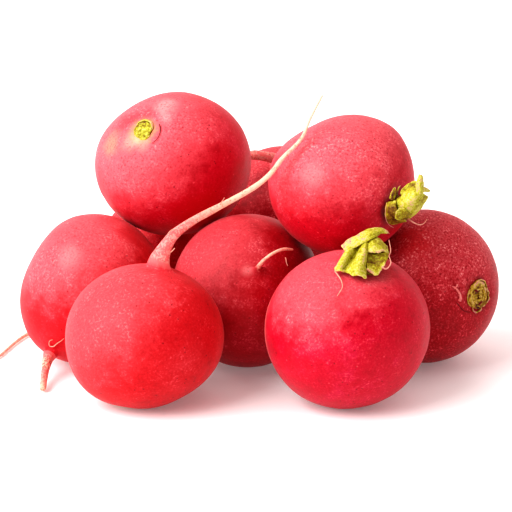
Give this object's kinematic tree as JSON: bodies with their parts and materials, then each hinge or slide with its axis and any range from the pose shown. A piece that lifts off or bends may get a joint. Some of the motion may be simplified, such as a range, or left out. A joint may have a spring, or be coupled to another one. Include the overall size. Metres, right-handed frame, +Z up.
{
  "type": "bunch of radishes",
  "caption": "A heap of round red salad radishes with trimmed leaf stubs and tap-roots, lying together on a table, two resting on the rest.",
  "frame": {"origin": "on the table, under the middle of the whole heap's outline", "axes": "+Z up, +X to the heap's right, +Y to its back, seen from the side that the two front radishes are on"},
  "size_m": [0.1316, 0.1328, 0.0737],
  "materials": {
    "radish_skin": "satin crimson root skin, paler at the tap-root",
    "leaf_stub": "matt yellow-green cut leaf stalk"
  },
  "bodies": {
    "root": {"radish_top_left": "radish_skin", "radish_top_right": "radish_skin", "radish_front_left": "radish_skin", "radish_front_right": "radish_skin", "radish_left": "radish_skin", "radish_middle": "radish_skin", "radish_right": "radish_skin", "radish_back": "radish_skin", "radish_back_left": "radish_skin", "leaf_stubs_top_left": "leaf_stub", "leaf_stubs_top_right": "leaf_stub", "leaf_stubs_front_left": "leaf_stub", "leaf_stubs_front_right": "leaf_stub", "leaf_stubs_left": "leaf_stub", "leaf_stubs_middle": "leaf_stub", "leaf_stubs_right": "leaf_stub", "leaf_stubs_back": "leaf_stub", "leaf_stubs_back_left": "leaf_stub"}
  },
  "joints": []
}
